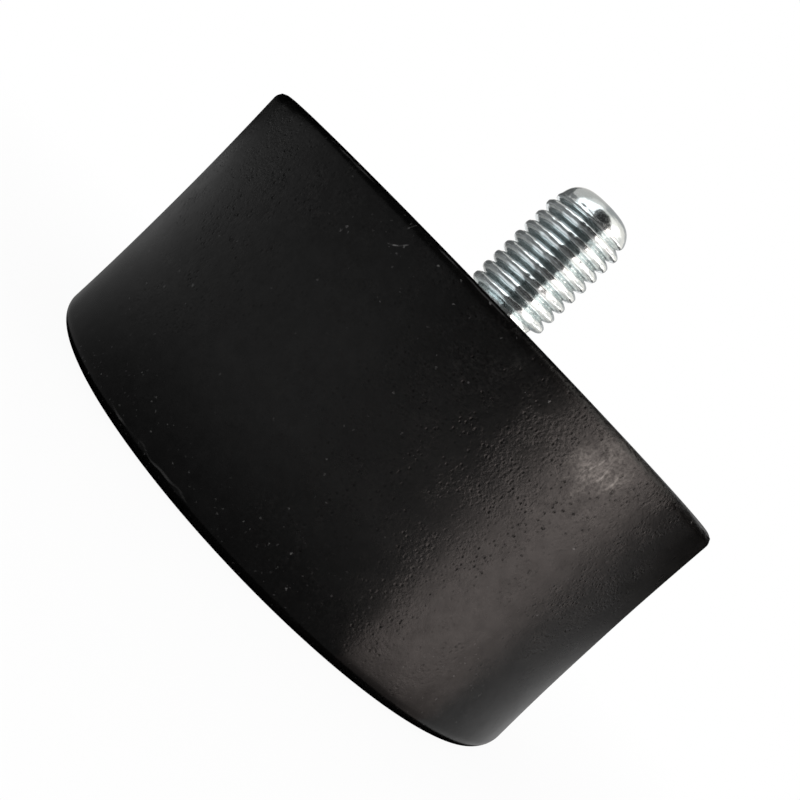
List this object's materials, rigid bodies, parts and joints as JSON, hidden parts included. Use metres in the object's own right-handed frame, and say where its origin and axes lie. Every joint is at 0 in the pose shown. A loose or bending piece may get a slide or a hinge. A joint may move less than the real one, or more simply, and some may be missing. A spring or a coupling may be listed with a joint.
{
  "type": "anti-vibration mount",
  "caption": "Cylindrical anti-vibration mount: black rubber body bonded to a steel end plate, with a zinc-plated threaded stud for fastening.",
  "frame": {"origin": "centre of the rubber base, on the surface that the mount stands on", "axes": "+Z along the stud, from the base towards the stud's tip; X and Y are equal, as the part is round"},
  "size_m": [0.053, 0.053, 0.0394],
  "materials": {
    "rubber": "moulded black rubber, satin, lightly scuffed",
    "plate_zinc": "bright zinc plating on pressed steel",
    "stud_zinc": "bright blue-white zinc plating on a rolled thread"
  },
  "bodies": {
    "root": {"rubber_body": "rubber", "end_plate": "plate_zinc", "threaded_stud": "stud_zinc"}
  },
  "joints": []
}
